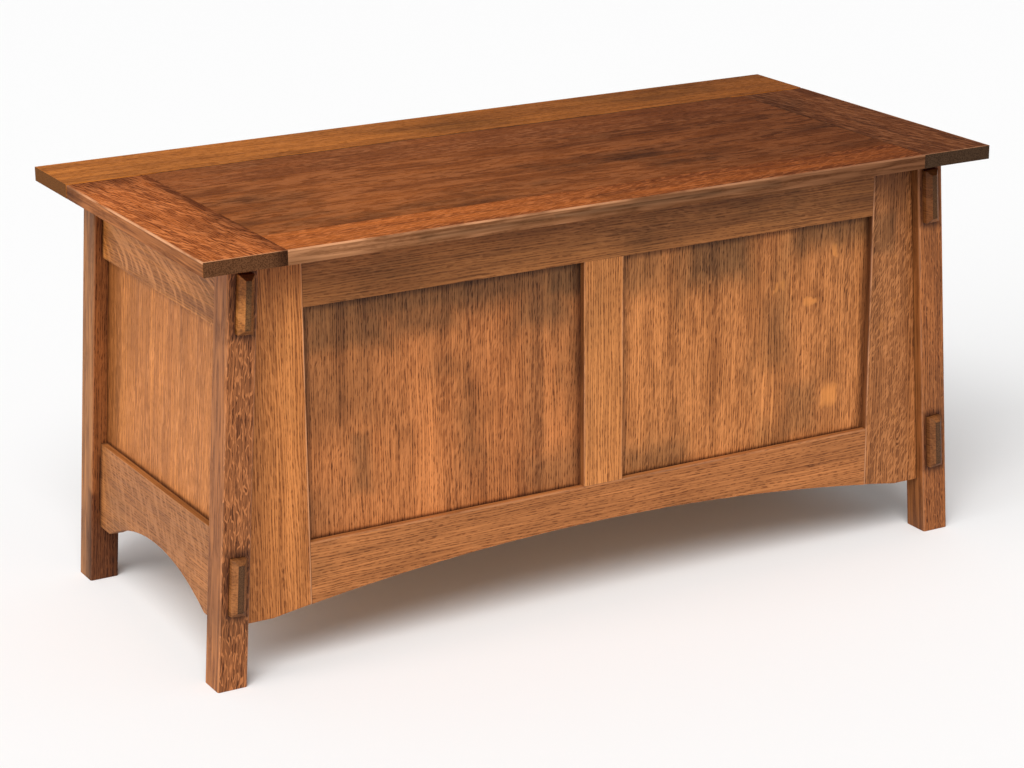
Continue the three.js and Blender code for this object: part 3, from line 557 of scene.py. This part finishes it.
for side, sign in (("left", -1), ("right", 1)):
    seed += 1
    oak(f"side_top_rail_{side}", "side_level", TONES["side_rail"], side=sign, seed=seed,
        pores=0.5, rings=0.3, flecks=0.6, fleck_rate_along=75, fleck_rate_across=30, arc=-30,
        fleck_cover=0.55,
        # Painted shade on the tenon ends, dark glaze and painted shade in the corners at the
        # posts, and painted shade on the top face under the lid.
        glaze_and_shade_pools=tenon_painted_shade(sign, TOP_TENON, *TENON_PAINTED_SHADE[side]["top"]),
        glaze_and_shade=[("Y", POST_INNER_BACK, 0.006, 0.8), ("Y", POST_INNER_FRONT, 0.006, 0.8)],
        glaze_and_shade_faces=[("Z", 1, 0.9)])
    seed += 1
    oak(f"side_arched_rail_{side}", "side_level", TONES["side_arched"], side=sign, seed=seed,
        pores=0.6, rings=0.3, flecks=0.4, fleck_rate_along=130, fleck_rate_across=30, arc=-3,
        fleck_cover=0.85,
        # Painted shade on the tenon ends, and dark glaze and painted shade in the corners at the
        # posts.
        glaze_and_shade_pools=tenon_painted_shade(sign, BOTTOM_TENON, *TENON_PAINTED_SHADE[side]["bottom"]),
        glaze_and_shade=[("Y", POST_INNER_BACK, 0.012, 0.9), ("Y", POST_INNER_FRONT, 0.012, 0.9)])
    seed += 1
    oak(f"side_panel_{side}", "side_upright", TONES["side_panel"], side=sign, seed=seed,
        pores=0.6, rings=0.6, bands=0.6, flecks=0.4, fleck_rate_along=40, fleck_rate_across=300,
        # Dark glaze and painted shade along the posts and the rails, with more by the back post.
        blotches=0.15, glaze_and_shade_pools=[("Y", POST_INNER_BACK, 0.03, "Z", 0.3, 0.2, 0.025, 0.45)],
        glaze_and_shade=[("Y", POST_INNER_FRONT, 0.045, 0.6), ("Y", POST_INNER_BACK, 0.03, 0.65),
               ("Z", SIDE_TOP_RAIL_BOTTOM, 0.01, 0.4), ("Z", SIDE_ARCHED_RAIL_TOP, 0.007, 0.95)])
    for end, y_sign, y_outer, y_inner, edge, y_painted_shade in (
            ("front", 1, POST_FRONT, POST_INNER_FRONT, "post_edge", 0.75),
            ("back", -1, POST_BACK, POST_INNER_BACK, "back_post_edge", 0.48)):
        seed += 1
        look = FIGURED_POST if (end, side) == ("front", "left") else PLAIN_POST
        # Dark glaze and painted shade round each tenon on the post's face.
        dark = [("L", sign * TENON_MIDDLE, TENON_HALF, "Z", middle, TENON_HALF_HEIGHT, 0.015, 0.85)
                for middle in (TOP_TENON, BOTTOM_TENON)]
        if end == "back":
            # Painted shade low down on the front face of a back post, by the floor.
            dark.append(("Y", POST_INNER_BACK, 0.001, "Z", 0.06, 0.06, 0.02, 0.85))
        stain = ("L", sign * TENON_MIDDLE, 0.03, "Z", *POST_STAINS[side])
        oak(f"post_{end}_{side}", "post", **look, edge_tone=TONES[edge], side=sign, seed=seed,
            warp=0.016, fleck_rate_along=38, fleck_rate_across=360, fleck_cover=0.95,
            ribbons=0.85, blotches=0.2, glaze_and_shade_pools=dark, stains=[stain] if end == "front" else [],
            # Painted shade on the faces that look into the chest.
            glaze_and_shade_faces=[("X", -sign, 0.25), ("Y", y_sign, y_painted_shade)],
            # All four long arrises are rubbed thin, with a painted highlight.
            rubbed_and_highlit=[("L", sign * x, "Y", y) for x in (POST_OUTER, POST_INNER)
                    for y in (y_outer, y_inner)])
    seed += 1
    oak(f"lid_end_board_{side}", "lid_cross", TONES["lid_end_" + side],
        TONES["lid_edge_" + side], seed=seed, flecks=0.8, pores=0.8, fleck_rate_along=36,
        fleck_rate_across=400, fleck_tilt=0.25, fleck_cover=0.7, fleck_light=1.7,
        rounding=0.0016, gloss=0.05, rub_and_highlight=1.0,
        glaze_and_shade=[("X", sign * END_BOARD_INNER, 0.03, 0.75), ("Y", LID_BACK, 0.06, 0.6),
               darker_right(0.65)],
        # The outer and front top arrises are rubbed thin, with a painted highlight along them.
        rubbed_and_highlit=[("X", sign * LID_SIDE, "Z", LID_TOP), ("Y", LID_FRONT, "Z", LID_TOP)])

oak("lid_front_rail", "lid_long", TONES["lid_rail"], TONES["lid_edge"], seed=41, flecks=0.5,
    bands=2.2, pores=0.9, fleck_rate_along=50, fleck_rate_across=330, fleck_tilt=-0.25,
    fleck_cover=0.65, fleck_light=1.7, rounding=0.0016, gloss=0.05, rub_and_highlight=1.0,
    stains=[("X", -0.03, 0.26, "Z", 0.56, -0.003, 0.012, 0.5),
            ("X", 0.02, 0.12, "Z", 0.561, -0.003, 0.012, 0.7)],
    # The front top arris is rubbed thin, with a painted highlight along it.
    glaze_and_shade=[darker_right(0.72)], rubbed_and_highlit=[("Y", LID_FRONT, "Z", LID_TOP)])
oak("lid_back_rail", "lid_long", TONES["lid_dark"], seed=42, flecks=0.5, gloss=0.05,
    glaze_and_shade=[darker_right(0.65)])
oak("lid_panel", "lid_long", TONES["lid_panel"], seed=43, flecks=0.85, glue_width=0.11, warp=0.03,
    pores=0.8, fleck_rate_along=34, fleck_rate_across=160, fleck_cover=0.55, ribbons=0.5,
    fleck_light=1.9, blotches=0.8, bands=1.3, rounding=0.0004, gloss=0.05,
    glaze_and_shade=[darker_right(0.72), ("Y", 0.1, 0.04, 0.3)])
oak("top_back_strip", "lid_long", TONES["strip"], seed=44, flecks=0.2, rounding=0.0016,
    gloss=0.05, glaze_and_shade=[darker_right(0.5)])

oak("strip_cleat", "lid_long", TONES["inner"], seed=50)
oak("floor_panel", "lid_long", TONES["inner"], seed=51, glue_width=0.11)
for index, (end, lies) in enumerate((("front", "front_level"), ("back", "front_level"),
                                     ("left", "side_level"), ("right", "side_level"))):
    oak(f"floor_cleat_{end}", lies, TONES["inner"], seed=52 + index)


# Metal

def metal(name, colour, worn, rough):
    """Brushed metal, with a second colour where it is worn. rough is the least roughness."""
    material = bpy.data.materials.new(name)
    material.use_nodes = True
    g = Graph(material.node_tree)
    shader = g.tree.nodes["Principled BSDF"]
    place = g.node("TexCoord").outputs["Object"]
    grime = g.noise(place, (60, 60, 60), detail=4, roughness=0.6)
    brushed = g.noise(place, (40, 900, 900), detail=2)
    g.feed(shader.inputs["Base Color"], g.mix(g.fade(grime, 0.4, 0.7), colour, worn))
    g.feed(shader.inputs["Roughness"], g.total(rough, g.product(brushed, 0.2),
                                               g.product(grime, 0.1)))
    shader.inputs["Metallic"].default_value = 1
    bump = g.node("Bump", {**METAL_BUMP, "Height": brushed})
    g.feed(shader.inputs["Normal"], bump.outputs[0])
    return material


BRONZE = metal("oiled_bronze", linear(86, 66, 48), linear(120, 92, 62), 0.28)
STEEL = metal("plated_steel", linear(170, 162, 148), linear(140, 132, 120), 0.22)
for name in nodes:
    if "screw" in name:
        wear(name, STEEL)
    elif name.startswith(("hinge", "stay")):
        wear(name, BRONZE)


# Stage and light

def sun(name, azimuth, elevation, softness, strength):
    """A large far lamp. Azimuth 0 is in front of the chest and 90 at its left end, in degrees."""
    data = bpy.data.lights.new(name, "SUN")
    data.angle = math.radians(softness)
    data.energy = strength
    made = bpy.data.objects.new(name, data)
    turn, rise = math.radians(azimuth), math.radians(elevation)
    towards = Vector((-math.sin(turn) * math.cos(rise), -math.cos(turn) * math.cos(rise),
                      math.sin(rise)))
    made.rotation_euler = towards.to_track_quat("Z", "Y").to_euler()
    scene.collection.objects.link(made)


FLOOR_HALF = 15
PAPER_WHITE, PAPER_ROUGHNESS = (0.9, 0.9, 0.9, 1), 0.9
SKY_STRENGTH = 0.35
floor_mesh = bpy.data.meshes.new("studio_floor")
floor_mesh.from_pydata([(x * FLOOR_HALF, y * FLOOR_HALF, 0)
                        for x, y in ((-1, -1), (1, -1), (1, 1), (-1, 1))], [], [(0, 1, 2, 3)])
floor = bpy.data.objects.new("studio_floor", floor_mesh)
scene.collection.objects.link(floor)
paper = bpy.data.materials.new("studio_paper")
paper.use_nodes = True
paper_inputs = paper.node_tree.nodes["Principled BSDF"].inputs
paper_inputs["Base Color"].default_value = PAPER_WHITE
paper_inputs["Roughness"].default_value = PAPER_ROUGHNESS
floor_mesh.materials.append(paper)

world = bpy.data.worlds.new("studio")
world.use_nodes = True
sky_inputs = world.node_tree.nodes["Background"].inputs
sky_inputs["Color"].default_value = (1, 1, 1, 1)
sky_inputs["Strength"].default_value = SKY_STRENGTH
scene.world = world
sun("key", azimuth=35, elevation=50, softness=35, strength=2.2)
sun("fill", azimuth=75, elevation=30, softness=50, strength=1.4)
scene.view_settings.view_transform = "Standard"
